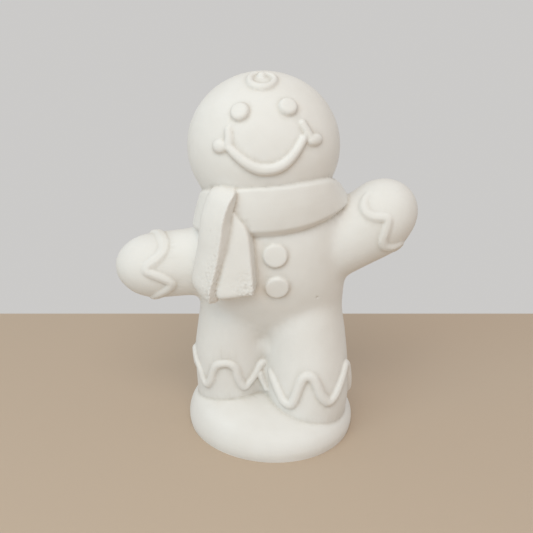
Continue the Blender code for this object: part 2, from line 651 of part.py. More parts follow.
body = soft_body()
pieces = details(body)
pieces += [mound(), band(), tail("tail_a", TAIL_A, 0.9, 0.0), tail("tail_b", TAIL_B, 0.3, 0.17)]
figure = fuse("figure", [body] + pieces, FINE_VOXEL, FINE_STEPS)
largest_shell(figure)
figure = thin_out(figure, TRIANGLES)
flat_underside(figure)
figure.name = "gingerbread_figurine"
figure.data.name = "gingerbread_figurine"
figure.data.materials.clear()
figure.data.materials.append(ceramic())
figure.data.shade_smooth()
figure.data.set_sharp_from_angle(angle=math.radians(50.0))
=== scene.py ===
import math
import random

import bmesh
import bpy
import numpy as np
from mathutils import Matrix, Vector, noise
from mathutils.bvhtree import BVHTree


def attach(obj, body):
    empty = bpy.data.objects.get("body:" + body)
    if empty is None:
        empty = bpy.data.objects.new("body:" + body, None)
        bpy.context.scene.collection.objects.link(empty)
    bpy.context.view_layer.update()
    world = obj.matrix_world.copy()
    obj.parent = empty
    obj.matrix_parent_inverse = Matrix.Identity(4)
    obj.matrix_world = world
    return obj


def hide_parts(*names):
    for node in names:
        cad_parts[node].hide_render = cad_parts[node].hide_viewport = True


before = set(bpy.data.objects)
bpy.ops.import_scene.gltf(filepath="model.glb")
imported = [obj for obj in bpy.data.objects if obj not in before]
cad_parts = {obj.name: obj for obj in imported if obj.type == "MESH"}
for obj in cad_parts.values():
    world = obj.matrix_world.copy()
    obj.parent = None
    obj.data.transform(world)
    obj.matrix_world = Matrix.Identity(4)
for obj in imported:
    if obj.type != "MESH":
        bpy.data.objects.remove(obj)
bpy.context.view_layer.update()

MM = 0.001

# ---------------------------------------------------------------- dimensions
BASE_CENTRE = (2.2 * MM, 0.4 * MM)      # becomes the origin at the end
BASE_RADIUS = 37.7 * MM        # mean radius on the table
BASE_TOP = 16.0 * MM           # height of the mound's shoulder
BASE_SLOPE = 0.13              # the mound rises towards the level-arm side
BASE_LOBES = ((2, 0.62, 17.0), (3, 0.46, 20.0))   # hand-pressed outline: order,
                               # size in mm, direction in degrees from the front

HEAD_CENTRE = (-1.2, 0.0, 130.2)
HEAD_SEMI = (32.2, 28.4, 30.8)

LEVEL_HAND = (-48.3, 0.0, 76.7)     # end of the level arm's axis
LEVEL_SHOULDER = (-12.0, 0.0, 80.8)
LEVEL_R = (14.6, 15.4)              # at the hand and at the shoulder
LEVEL_TIP = 18.5                    # the hand is drawn out this far along x
RAISED_HAND = (47.0, 0.0, 96.9)
RAISED_SHOULDER = (8.0, 0.0, 77.2)
RAISED_R = (15.7, 16.8)
RAISED_MITT = (48.6, 0.0, 99.6)     # centre and half sizes of the raised round hand
RAISED_MITT_SEMI = (17.6, 15.6, 15.3)
RAISED_MITT_TILT = 38.0             # degrees above the horizontal
ARM_DEPTH = 0.97                    # arms are slightly thinner front to back

BUTTON_RADIUS = 5.3
BUTTONS = ((3.6, 90.2), (4.4, 75.9))        # x, z
EYE_RADIUS = 3.85
EYES = ((-20.4, 35.9), (22.8, 39.9))        # azimuth, elevation on the head
LEG_BEAD = ((2.0, 0.45), (2.4, 0.6))        # radius, depth of its centre line, for each leg
ARM_BEAD = ((3.4, 2.3), (2.6, 1.45))
SMILE_RADIUS = 2.5

SOFT_VOXEL = 1.2 * MM          # mesh for the body's broad forms
SOFT_STEPS = 40
FINE_VOXEL = 0.45 * MM    # mesh for the scarf, icing and face
FINE_STEPS = 3
TRIANGLES = 190000

COLOUR = (0.86, 0.84, 0.79, 1.0)
ROUGHNESS = 0.9


# ------------------------------------------------------------------- helpers
def new_object(name, mesh):
    obj = bpy.data.objects.new(name, mesh)
    WORK.objects.link(obj)
    return obj


def from_bmesh(name, bm):
    mesh = bpy.data.meshes.new(name)
    bm.normal_update()
    bm.to_mesh(mesh)
    bm.free()
    return new_object(name, mesh)


def ball(name, centre, semi, turn=None):
    """Ellipsoid with its centre and semi-axes in millimetres."""
    place = Matrix.Translation(Vector(centre) * MM)
    if turn is not None:
        place = place @ turn
    place = place @ Matrix.Diagonal((semi[0] * MM, semi[1] * MM, semi[2] * MM, 1.0))
    bm = bmesh.new()
    bmesh.ops.create_uvsphere(bm, u_segments=64, v_segments=40, radius=1.0, matrix=place)
    return from_bmesh(name, bm)


def turned(name, profile, steps=96):
    """Closed turned solid; the profile runs from the top of the axis down."""
    bm = bmesh.new()
    verts = [bm.verts.new((r * MM, 0.0, z * MM)) for r, z in profile]
    for a, b in zip(verts, verts[1:]):
        bm.edges.new((a, b))
    obj = from_bmesh(name, bm)
    screw = obj.modifiers.new("turn", 'SCREW')
    screw.axis = 'Z'
    screw.steps = steps
    screw.render_steps = steps
    screw.use_merge_vertices = True
    screw.merge_threshold = 0.00001
    return applied(obj)


def applied(obj):
    """The object's evaluated mesh as a plain object."""
    graph = bpy.context.evaluated_depsgraph_get()
    mesh = bpy.data.meshes.new_from_object(obj.evaluated_get(graph))
    out = new_object(obj.name + "_made", mesh)
    out.matrix_world = obj.matrix_world
    bpy.data.objects.remove(obj, do_unlink=True)
    return out


def loft(name, rings):
    """Closed solid through rings of equal count (points in millimetres)."""
    bm = bmesh.new()
    rows = [[bm.verts.new(Vector(p) * MM) for p in ring] for ring in rings]
    n = len(rows[0])
    for lower, upper in zip(rows, rows[1:]):
        for i in range(n):
            j = (i + 1) % n
            bm.faces.new((lower[i], lower[j], upper[j], upper[i]))
    bm.faces.new(rows[0][::-1])
    bm.faces.new(rows[-1])
    bmesh.ops.recalc_face_normals(bm, faces=bm.faces[:])
    return from_bmesh(name, bm)


def ellipse(cx, cy, z, rx, ry, count=56, power=2.0):
    """Horizontal (super)ellipse ring in millimetres."""
    ring = []
    for i in range(count):
        a = 2.0 * math.pi * i / count
        c, s = math.cos(a), math.sin(a)
        ring.append((cx + rx * math.copysign(abs(c) ** (2.0 / power), c),
                     cy + ry * math.copysign(abs(s) ** (2.0 / power), s), z))
    return ring


def stack(name, sections, power=2.0, between=4):
    """Loft through horizontal sections (z, cx, cy, rx, ry), smoothed in z."""
    keys = [Vector((s[1], s[2], s[0])) for s in sections]
    radii = [Vector((s[3], s[4], 0.0)) for s in sections]
    centres = smooth_path(keys, between)
    sizes = smooth_path(radii, between)
    return loft(name, [ellipse(c.x, c.y, c.z, max(r.x, 0.2), max(r.y, 0.2), power=power)
                       for c, r in zip(centres, sizes)])


def smooth_path(points, between=6, closed=False):
    """Catmull-Rom curve through the points, as a list of vectors."""
    pts = [Vector(p) for p in points]
    n = len(pts)
    out = []
    for i in range(n if closed else n - 1):
        if closed:
            a, b, c, d = pts[(i - 1) % n], pts[i], pts[(i + 1) % n], pts[(i + 2) % n]
        else:
            a, b, c, d = pts[max(i - 1, 0)], pts[i], pts[i + 1], pts[min(i + 2, n - 1)]
        for k in range(between):
            t = k / between
            out.append(0.5 * ((2.0 * b) + (c - a) * t + (2.0 * a - 5.0 * b + 4.0 * c - d) * t * t
                              + (3.0 * b - a - 3.0 * c + d) * t ** 3))
    if not closed:
        out.append(pts[-1])
    return out


def tube(name, points, radius, closed=False, taper=None, sizes=None):
    """Round tube through the points (metres), with round ends."""
    curve = bpy.data.curves.new(name, 'CURVE')
    curve.dimensions = '3D'
    curve.bevel_depth = radius * MM
    curve.bevel_resolution = 3
    curve.use_fill_caps = not closed
    spline = curve.splines.new('POLY')
    spline.points.add(len(points) - 1)
    spline.use_cyclic_u = closed
    for k, (slot, p) in enumerate(zip(spline.points, points)):
        slot.co = (p.x, p.y, p.z, 1.0)
        slot.radius = sizes[k] if sizes else taper(k / (len(points) - 1)) if taper else 1.0
    wire = bpy.data.objects.new(name, curve)
    WORK.objects.link(wire)
    made = applied(wire)
    bm = bmesh.new()
    bm.from_mesh(made.data)
    bmesh.ops.remove_doubles(bm, verts=bm.verts[:], dist=0.000005)
    if not closed:
        for k in (0, len(points) - 1):
            size = radius * MM * (taper(k / (len(points) - 1)) if taper else 1.0)
            bmesh.ops.create_uvsphere(bm, u_segments=16, v_segments=10, radius=size,
                                      matrix=Matrix.Translation(points[k]))
    bm.to_mesh(made.data)
    bm.free()
    return made


def limb(name, hand, shoulder, radii, depth):
    """Tapered arm with a round end, its axis in the XZ plane."""
    a, b = Vector(hand) * MM, Vector(shoulder) * MM
    r0, r1 = radii[0] * MM, radii[1] * MM
    along = b - a
    turn = along.to_track_quat('Z', 'Y').to_matrix().to_4x4()
    bm = bmesh.new()
    bmesh.ops.create_cone(bm, cap_ends=True, segments=64, radius1=r0, radius2=r1, depth=along.length,
                          matrix=Matrix.Translation((a + b) / 2) @ turn)
    bmesh.ops.create_uvsphere(bm, u_segments=64, v_segments=40, radius=r0, matrix=Matrix.Translation(a))
    bmesh.ops.create_uvsphere(bm, u_segments=64, v_segments=40, radius=r1, matrix=Matrix.Translation(b))
    bmesh.ops.scale(bm, vec=(1.0, depth, 1.0), verts=bm.verts[:])
    return from_bmesh(name, bm)


def fuse(name, objects, voxel, steps):
    """Union of closed solids on a voxel mesh, then softened."""
    bm = bmesh.new()
    for obj in objects:
        part = obj.data.copy()
        part.transform(obj.matrix_world)
        bm.from_mesh(part)
        bpy.data.meshes.remove(part)
    for obj in objects:
        bpy.data.objects.remove(obj, do_unlink=True)
    joined = from_bmesh(name, bm)
    remesh = joined.modifiers.new("voxel", 'REMESH')
    remesh.mode = 'VOXEL'
    remesh.voxel_size = voxel
    remesh.adaptivity = 0.0
    if steps:
        soft = joined.modifiers.new("soften", 'SMOOTH')
        soft.factor = 0.5
        soft.iterations = steps
    return applied(joined)


def surface(obj):
    graph = bpy.context.evaluated_depsgraph_get()
    return BVHTree.FromObject(obj, graph)


# ------------------------------------------------------------- the soft body
def mound():
    """Low round base with a nearly upright rim and a sloping top."""
    t = BASE_TOP / MM
    r = BASE_RADIUS / MM
    profile = [(0.0, t + 3.0), (12.0, t + 2.6), (22.0, t + 1.0), (28.5, t - 0.9),
               (33.0, t - 2.9), (36.0, t - 5.6), (37.6, t - 8.6), (r + 0.6, 4.4), (r + 0.5, 2.0),
               (r, 0.0), (r - 0.5, -4.0), (0.0, -4.0)]
    keys = [Vector((p[0], 0.0, p[1])) for p in profile[:-2]]
    path = [(v.x, v.z) for v in smooth_path(keys, 5)]
    obj = turned("mound", path + list(profile[-2:]))
    for v in obj.data.vertices:
        x, y = v.co.x / MM, v.co.y / MM
        lift = min(max((v.co.z / MM - 3.0) / 8.0, 0.0), 1.0)
        rim = 1.0 - 0.4 * min(math.hypot(x, y) / r, 1.0) ** 6
        v.co.z -= BASE_SLOPE * 18.0 * math.tanh((x + 9.9) / 18.0) * rim * lift * MM
        around = math.atan2(x, -y)
        size = 1.0 + sum(high / r * math.cos(order * (around - math.radians(towards)))
                         for order, high, towards in BASE_LOBES)
        v.co.x = v.co.x * size + BASE_CENTRE[0]
        v.co.y = v.co.y * size + BASE_CENTRE[1]
    return obj


TORSO = (            # z, centre x, centre y, half width, half depth
    (43.0, 2.0, 1.0, 20.0, 8.0),
    (48.0, 2.0, 0.9, 27.0, 12.0),
    (56.0, 2.0, 0.6, 31.2, 16.6),
    (64.0, 2.1, 0.2, 32.0, 20.4),
    (72.0, 2.1, 0.0, 32.1, 23.0),
    (80.0, 2.0, 0.0, 32.0, 24.6),
    (90.0, 1.5, 0.0, 31.3, 25.0),
    (100.0, 1.0, 0.0, 30.5, 23.6),
    (108.0, 0.8, 0.0, 28.5, 20.5),
    (116.0, 0.5, 0.0, 25.0, 17.0),
)
LEG_A = (            # under the level arm
    (4.0, -16.0, 2.4, 15.0, 15.8),
    (16.0, -16.0, 2.4, 16.1, 16.8),
    (26.0, -16.1, 2.1, 16.5, 17.7),
    (36.0, -16.0, 2.1, 16.8, 18.5),
    (46.0, -15.4, 2.2, 16.1, 18.9),
    (56.0, -14.5, 2.2, 15.6, 18.7),
    (64.0, -13.4, 1.6, 14.6, 16.2),
    (71.0, -12.6, 1.4, 9.0, 10.5),
)
LEG_B = (            # under the raised arm, a little further forward
    (2.0, 18.5, -6.0, 16.3, 19.2),
    (10.0, 18.5, -6.0, 17.6, 20.2),
    (17.0, 18.7, -5.8, 18.5, 20.7),
    (24.0, 18.7, -5.2, 18.6, 20.8),
    (34.0, 18.5, -3.8, 18.4, 20.4),
    (45.0, 17.7, -1.8, 17.9, 19.8),
    (55.0, 16.8, 0.2, 17.4, 19.4),
    (65.0, 16.2, 1.3, 16.0, 17.4),
    (72.0, 15.6, 1.5, 9.5, 11.5),
)


def soft_body():
    forms = [
        ball("head", HEAD_CENTRE, HEAD_SEMI),
        stack("torso", TORSO, power=2.25),
        stack("leg_a", LEG_A),
        stack("leg_b", LEG_B),
        limb("arm_level", LEVEL_HAND, LEVEL_SHOULDER, LEVEL_R, ARM_DEPTH),
        ball("hand_level", LEVEL_HAND, (LEVEL_TIP, LEVEL_R[0] * ARM_DEPTH, LEVEL_R[0])),
        limb("arm_raised", RAISED_HAND, RAISED_SHOULDER, RAISED_R, ARM_DEPTH),
        ball("hand_raised", RAISED_MITT, RAISED_MITT_SEMI,
             Matrix.Rotation(math.radians(-RAISED_MITT_TILT), 4, 'Y')),
        ball("between_legs", (1.2, -0.1, 44.0), (11.0, 11.5, 12.0)),
        ball("seat", (1.2, 6.0, 54.0), (10.5, 9.5, 14.0)),
        ball("crotch", (0.2, 0.0, 27.0), (7.5, 10.5, 16.0)),
    ]
    return fuse("body", forms, SOFT_VOXEL, SOFT_STEPS)


# ------------------------------------------------------------------ the scarf
BAND = (             # angle from the front, radius and height of the lower lip, then of the top
    (-180.0, 25.5, 99.5, 22.5, 112.5),
    (-135.0, 28.5, 98.0, 25.2, 111.5),
    (-108.0, 31.0, 96.6, 26.6, 110.4),
    (-90.0, 31.8, 96.8, 27.1, 110.9),
    (-68.0, 31.8, 97.6, 29.2, 114.0),
    (-40.0, 29.2, 99.8, 28.8, 117.6),
    (-15.0, 27.6, 101.0, 27.6, 119.0),
    (12.0, 27.6, 101.8, 27.7, 119.8),
    (35.0, 29.8, 103.4, 28.8, 120.3),
    (60.0, 32.6, 105.6, 30.2, 119.6),
    (80.0, 34.6, 106.8, 30.4, 116.8),
    (100.0, 35.0, 106.6, 29.6, 114.8),
    (130.0, 31.0, 103.5, 25.8, 114.0),
    (155.0, 27.5, 100.8, 23.2, 113.0),
)


def band():
    """Scarf band around the neck: one closed ring of lofted sections."""
    keys = [Vector((b[1], b[2], 0.0)) for b in BAND]
    tops = [Vector((b[3], b[4], 0.0)) for b in BAND]
    lows = smooth_path(keys, 8, closed=True)
    highs = smooth_path(tops, 8, closed=True)
    angles = []
    for i, b in enumerate(BAND):
        nxt = BAND[(i + 1) % len(BAND)][0]
        if nxt < b[0]:
            nxt += 360.0
        angles += [b[0] + (nxt - b[0]) * k / 8 for k in range(8)]
    rings = []
    for a, lo, hi in zip(angles, lows, highs):
        r0, z0, r1, z1 = lo.x, lo.y, hi.x, hi.y
        shape = [(r0 - 9.0, z0 - 3.6), (r0 - 3.6, z0 - 3.5), (r0 - 2.0, z0 - 2.0),
                 (r0 - 0.4, z0 - 0.4), (r0, z0 + 0.5)]
        bulge = 0.3 + 0.6 * max(0.0, math.cos(math.radians(a)))
        for k in range(1, 6):                      # softly bulging outer face
            t = k / 6.0
            shape.append((r0 + (r1 - r0) * t + bulge * math.sin(math.pi * t), z0 + 0.5 + (z1 - z0 - 0.5) * t))
        shape += [(r1 + 0.2, z1 - 1.0), (r1 - 1.2, z1 + 0.3), (r1 - 9.0, z1 - 3.0)]
        s, c = math.sin(math.radians(a)), math.cos(math.radians(a))
        rings.append([(r * s, -r * c, z) for r, z in shape])
    bm = bmesh.new()
    rows = [[bm.verts.new(Vector(p) * MM) for p in ring] for ring in rings]
    n = len(rows[0])
    for i, row in enumerate(rows):
        after = rows[(i + 1) % len(rows)]
        for j in range(n):
            k = (j + 1) % n
            bm.faces.new((row[j], row[k], after[k], after[j]))
    bmesh.ops.recalc_face_normals(bm, faces=bm.faces[:])
    return from_bmesh("band", bm)


TAIL_A = (           # z, outer edge x and y, ridge x and y, foot of the side face x and y
    (118.6, -19.2, -20.8, -13.0, -25.0, -11.8, -22.0),
    (117.8, -21.0, -21.6, -12.4, -28.0, -11.5, -24.2),
    (116.5, -22.6, -22.5, -12.7, -29.5, -11.8, -25.5),
    (113.5, -24.3, -23.1, -14.5, -31.0, -12.5, -27.1),
    (107.0, -26.5, -23.8, -16.6, -32.0, -14.1, -28.0),
    (100.0, -27.5, -23.8, -17.7, -32.3, -14.8, -28.6),
    (92.0, -28.5, -23.4, -19.0, -32.3, -16.1, -29.0),
    (84.0, -30.3, -23.0, -20.8, -32.3, -18.3, -29.0),
    (78.0, -31.2, -22.8, -22.3, -32.2, -20.0, -29.0),
    (74.0, -29.5, -23.0, -22.8, -31.6, -20.4, -28.6),
    (72.0, -27.6, -23.4, -22.8, -30.6, -20.2, -27.8),
    (70.8, -25.6, -24.0, -22.8, -29.4, -19.9, -26.6),
    (70.2, -24.4, -24.2, -22.6, -28.0, -20.4, -25.8),
)
TAIL_B = (           # the piece behind it, towards the buttons
    (109.0, -14.6, -25.6, -12.8, -26.9, -12.0, -24.8),
    (107.0, -15.0, -26.0, -11.5, -27.4, -10.6, -24.8),
    (104.5, -16.0, -26.6, -9.7, -28.0, -9.0, -25.0),
    (102.0, -17.0, -27.0, -8.2, -28.5, -7.4, -25.0),
    (98.0, -18.0, -27.6, -7.0, -29.2, -6.0, -25.0),
    (92.0, -19.0, -28.4, -6.3, -30.0, -5.1, -25.1),
    (84.0, -20.0, -29.2, -5.6, -31.0, -4.5, -25.2),
    (77.5, -20.6, -29.9, -5.2, -32.0, -4.2, -25.2),
    (75.3, -20.4, -29.9, -5.2, -32.0, -4.3, -25.0),
    (73.9, -19.6, -29.0, -5.5, -31.0, -4.6, -24.8),
)


def tail(name, rows, swell, lean):
    """Hanging end of the scarf: a thick slab with a rounded front."""
    span = smooth_path([Vector((r[0], r[1], r[2])) for r in rows], 5)
    ridge = smooth_path([Vector((r[0], r[3], r[4])) for r in rows], 5)
    side = smooth_path([Vector((r[0], r[5], r[6])) for r in rows], 5)
    rings = []
    for o, m, f in zip(span, ridge, side):
        ring = [(o.y + 3.0, -12.0), (o.y + 0.5, o.z + 4.5), (o.y, o.z + 1.8), (o.y + 0.5, o.z - 0.4)]
        for k in range(1, 7):
            t = k / 7.0
            bow = swell * math.sin(math.pi * t) + 0.6 * (1.0 - t)
            ring.append((o.y + 0.5 + (m.y - o.y - 0.5) * t, o.z - 0.4 + (m.z - o.z + 0.4) * t - bow))
        ring += [(m.y - 0.8, m.z - 0.1), (m.y - 0.1, m.z + 0.4), (f.y, f.z), (f.y + 0.4, -12.0)]
        rings.append([(x, y, o.x + lean * (x + 12.0)) for x, y in ring])
    return loft(name, rings)


# ------------------------------------------------- raised icing, face, buttons
def leg_axis(leg, z):
    """Centre and half sizes of a leg at a height, in millimetres."""
    for lower, upper in zip(leg, leg[1:]):
        if lower[0] <= z <= upper[0]:
            t = (z - lower[0]) / (upper[0] - lower[0])
            return [lower[k] + (upper[k] - lower[k]) * t for k in range(1, 5)]
    return list(leg[-1][1:])


def wrapped(wave):
    """Smooth closed path through the turning points once around.

    A turning point is an angle, a value, how far the bead is sunk into the
    surface there and its size relative to the bead's radius; the last two
    may be left off.
    """
    turn = 360.0 if wave[-1][0] > wave[0][0] else -360.0
    full = [Vector(tuple(w) + (0.0, 1.0)[len(w) - 2:]) for w in wave]
    step = Vector((turn, 0.0, 0.0, 0.0))
    keys = [full[-1] - step] + full + [w + step for w in full[:2]]
    return smooth_path(keys, 8)[8:-9]


def leg_icing(name, tree, leg, wave, bead):
    """Closed wavy bead around a leg from (angle, height) turning points."""
    points, sizes = [], []
    for p in wrapped(wave):
        sizes.append(p.w)
        cx, cy, rx, ry = leg_axis(leg, p.y)
        a = math.radians(p.x)
        s, c = math.sin(a), -math.cos(a)
        reach = 1.0 / math.hypot(s / rx, c / ry)
        start = Vector((cx, cy, p.y)) * MM
        hit = tree.ray_cast(start, Vector((s, c, 0.0)), 1.12 * reach * MM)
        out = Vector((s, c, 0.0))
        if hit[0] is not None and (hit[0] - start).length > 0.8 * reach * MM:
            points.append(hit[0] - out * (bead[1] + p.z) * MM)
        else:
            points.append(start + out * (reach - bead[1] - p.z) * MM)
    return tube(name, points, bead[0], closed=True, sizes=sizes)


def arm_icing(name, tree, hand, shoulder, wave, bead):
    """Closed wavy bead around a wrist from (angle, distance) turning points.

    The angle is 0 at the front and grows upwards; the distance runs from
    the centre of the hand towards the shoulder.
    """
    a, b = Vector(hand), Vector(shoulder)
    along = (b - a).normalized()
    front = Vector((0.0, -1.0, 0.0))
    up = front.cross(along)
    if up.z < 0:
        up = -up
    points, sizes = [], []
    for p in wrapped(wave):
        sizes.append(p.w)
        t = math.radians(p.x)
        out = front * math.cos(t) + up * math.sin(t)
        start = (a + along * p.y) * MM
        hit = tree.ray_cast(start, out, 0.03)
        points.append((hit[0] if hit[0] is not None else start + out * 16.0 * MM)
                      - out * (bead[1] + p.z) * MM)
    return tube(name, points, bead[0], closed=True, sizes=sizes)


def on_head(tree, azimuth, elevation):
    """Point and outward normal on the head."""
    a, e = math.radians(azimuth), math.radians(elevation)
    n = Vector((math.sin(a) * math.cos(e) * HEAD_SEMI[0], -math.cos(a) * math.cos(e) * HEAD_SEMI[1],
                math.sin(e) * HEAD_SEMI[2]))
    centre = Vector(HEAD_CENTRE) * MM
    hit = tree.ray_cast(centre, n.normalized(), 0.06)
    return hit[0], hit[1]


def pad(name, point, normal, radius, height, rim=0.75):
    """Low round-edged disc standing on the surface."""
    profile = [(0.0, height), (radius * rim * 0.6, height * 0.97), (radius * rim, height * 0.86),
               (radius * 0.93, height * 0.5), (radius, -0.4), (radius * 0.98, -2.5), (0.0, -2.5)]
    keys = [Vector((p[0], 0.0, p[1])) for p in profile[:-2]]
    path = [(v.x, v.z) for v in smooth_path(keys, 4)] + profile[-2:]
    obj = turned(name, path, 48)
    obj.matrix_world = Matrix.Translation(point) @ normal.to_track_quat('Z', 'Y').to_matrix().to_4x4()
    return obj


SMILE = ((-24.7, 9.1), (-18.8, 4.1), (-11.2, -1.6), (-3.9, -5.1), (2.6, -5.8), (9.5, -4.5),
         (16.0, -1.0), (22.2, 5.1), (29.8, 14.8))
CHEEKS = ((-32.6, 9.4, 3.2, 2.7), (39.9, 13.4, 4.0, 2.4))     # azimuth, elevation, half sizes
TICKS = (((-27.4, 21.4), (-25.9, 16.7), (-25.5, 11.8)), ((32.2, 26.5), (34.4, 20.9), (36.5, 15.0)))
CURL = ((-2.6, 7.0), (-4.2, 5.4), (-5.0, 2.4), (-4.4, -0.9), (-2.3, -3.2), (0.3, -3.8),
        (2.8, -2.8), (4.6, -0.1), (4.8, 2.7), (3.5, 4.9), (1.4, 5.4), (-0.3, 4.2))
CURL_AT = (-2.1, 66.8)         # azimuth, elevation of the curl's centre
DRIP = ((-2.9, 28.6), (-2.1, 26.4), (-1.1, 23.9), (-0.1, 21.4))     # x, z in the crotch

WAVE_A = ((-80, 36.6), (-67, 33.7), (-54, 29.9), (-46, 25.2), (-39, 23.6), (-31, 26.5), (-26, 31.1),
          (-20, 34.6), (-11, 36.2), (-1, 36.3), (7, 33.9), (11, 29.4), (17, 25.4), (23, 23.7),
          (30, 25.8), (35, 27.4), (43, 30.9), (49, 33.6), (59, 33.0, 1.6), (76, 26.0, 3.2), (101, 33.5, 2.0),
          (126, 24.0), (154, 35.5), (180, 24.5), (205, 35.0), (230, 33.0), (248, 24.5), (260, 26.5),
          (271, 33.0))
WAVE_B = ((-80, 28.0, 3.2), (-68, 30.6, 1.7), (-60, 30.1, 0.5), (-49, 27.2), (-42, 24.3), (-35, 21.6),
          (-28, 20.4), (-22, 21.1), (-18, 23.8), (-13, 28.8), (-8, 32.7), (-2, 34.1), (5, 32.9),
          (10, 29.4), (15, 25.1), (24, 21.8), (33, 23.0), (43, 26.9), (52, 30.7), (62, 34.0),
          (72, 32.0), (82, 25.5), (93, 19.0), (107, 22.5), (124, 33.5), (147, 21.5), (171, 34.0),
          (196, 21.5), (220, 34.0, 0.8), (244, 21.5, 2.0), (266, 24.5, 3.0))
WAVE_LEVEL = ((97, 2.9, -0.1), (76, 4.8), (59, 5.9), (45, 5.5), (34, 3.4), (26, 0.6),
              (18, -1.8, -0.3, 0.9), (10, -2.0, -0.8, 0.78), (4, 0.2, -0.8, 0.78), (-4, 3.3, -0.8, 0.78),
              (-11, 5.9, -0.8, 0.78), (-19, 7.2, -0.8, 0.78), (-31, 5.2, -0.8, 0.78), (-43, 1.5, -0.8, 0.78),
              (-56, -1.3, -0.8, 0.78), (-69, -2.2, -0.7, 0.78), (-90, 1.0, -0.5, 0.8), (-112, 4.5),
              (-135, 0.5), (-156, -2.5), (-180, 3.0), (-204, 4.5), (-226, -0.5), (-245, 0.5, -0.4))
WAVE_RAISED = ((82, -6.4, 1.5), (69, -3.1, 0.9), (58, -0.3, 0.3), (48, 1.2), (37, 1.2), (27, -0.8),
               (21, -3.6), (14, -5.2), (5, -3.9), (-5, -1.9), (-15, 0.2), (-26, 0.9), (-37, -0.4),
               (-45, -2.6), (-53, -4.9, 0.3), (-69, -4.6, 0.6), (-88, -1.0, 0.4), (-108, 1.5),
               (-132, -4.0), (-155, -5.0), (-178, 0.5), (-205, 0.5), (-226, -4.0, 0.6),
               (-247, -6.5, 1.5), (-263, -7.2, 1.7))


def details(body):
    tree = surface(body)
    made = [
        leg_icing("icing_leg_a", tree, LEG_A, WAVE_A, LEG_BEAD[0]),
        leg_icing("icing_leg_b", tree, LEG_B, WAVE_B, LEG_BEAD[1]),
        arm_icing("icing_level", tree, LEVEL_HAND, LEVEL_SHOULDER, WAVE_LEVEL, ARM_BEAD[0]),
        arm_icing("icing_raised", tree, RAISED_HAND, RAISED_SHOULDER, WAVE_RAISED, ARM_BEAD[1]),
    ]
    drip = []
    for p in smooth_path([Vector((x, z, 0.0)) for x, z in DRIP], 5):
        hit = tree.ray_cast(Vector((p.x * MM, -0.08, p.y * MM)), Vector((0.0, 1.0, 0.0)), 0.2)
        drip.append(hit[0] - Vector((0.0, 0.4, 0.0)) * MM)
    made.append(tube("icing_drip", drip, 1.55, taper=lambda t: 1.0 - 0.2 * t))
    smile = [on_head(tree, p.x, p.y)[0] for p in smooth_path([Vector((a, e, 0.0)) for a, e in SMILE], 6)]
    made.append(tube("smile", smile, SMILE_RADIUS,
                     taper=lambda t: 0.72 + 0.28 * math.sin(math.pi * t)))
    for k, (azimuth, elevation, wide, tall) in enumerate(CHEEKS):
        point, normal = on_head(tree, azimuth, elevation)
        lump = ball("cheek_%d" % k, (0.0, 0.0, 0.0), (wide, tall, 1.9))
        lump.matrix_world = Matrix.Translation(point) @ normal.to_track_quat('Z', 'Y').to_matrix().to_4x4()
        made.append(lump)
    for k, keys in enumerate(TICKS):
        line = []
        for p in smooth_path([Vector((a, e, 0.0)) for a, e in keys], 5):
            point, normal = on_head(tree, p.x, p.y)
            line.append(point - normal * 0.4 * MM)
        made.append(tube("tick_%d" % k, line, 2.0, taper=lambda t: 0.85 + 0.15 * t))
    for k, (azimuth, elevation) in enumerate(EYES):
        point, normal = on_head(tree, azimuth, elevation)
        made.append(pad("eye_%d" % k, point, normal, EYE_RADIUS, 2.2, rim=0.74))
    point, normal = on_head(tree, *CURL_AT)
    right = Vector((1.0, 0.0, 0.0))
    back = normal.cross(right).normalized()
    if back.y < 0:
        back = -back
    ring = []
    for p in smooth_path([Vector((x, y, 0.0)) for x, y in CURL], 5):
        over = point + (right * p.x + back * p.y) * MM + normal * 0.01
        hit = tree.ray_cast(over, -normal, 0.03)
        ring.append(hit[0])
    made.append(tube("curl", ring, 1.45, taper=lambda t: 0.85 + 0.4 * math.exp(-((t - 0.42) / 0.18) ** 2)
                     + 0.4 * t ** 8))
    for k, (x, z) in enumerate(BUTTONS):
        hit = tree.ray_cast(Vector((x * MM, -0.08, z * MM)), Vector((0.0, 1.0, 0.0)), 0.2)
        made.append(pad("button_%d" % k, hit[0], hit[1], BUTTON_RADIUS, 1.6, rim=0.86))
    return made


# --------------------------------------------------------------------- finish
def largest_shell(obj):
    """Keep the biggest connected piece of the mesh."""
    bm = bmesh.new()
    bm.from_mesh(obj.data)
    left = set(bm.verts)
    best = []
    while left:
        seed = left.pop()
        group, queue = [seed], [seed]
        while queue:
            for edge in queue.pop().link_edges:
                for v in edge.verts:
                    if v in left:
                        left.discard(v)
                        group.append(v)
                        queue.append(v)
        if len(group) > len(best):
            best = group
    keep = set(best)
    bmesh.ops.delete(bm, geom=[v for v in bm.verts if v not in keep], context='VERTS')
    bm.to_mesh(obj.data)
    bm.free()


def thin_out(obj, count):
    """Reduce to about this many triangles."""
    total = sum(len(p.vertices) - 2 for p in obj.data.polygons)
    reduce = obj.modifiers.new("reduce", 'DECIMATE')
    reduce.decimate_type = 'COLLAPSE'
    reduce.ratio = min(1.0, count / total)
    reduce.use_collapse_triangulate = True
    return applied(obj)


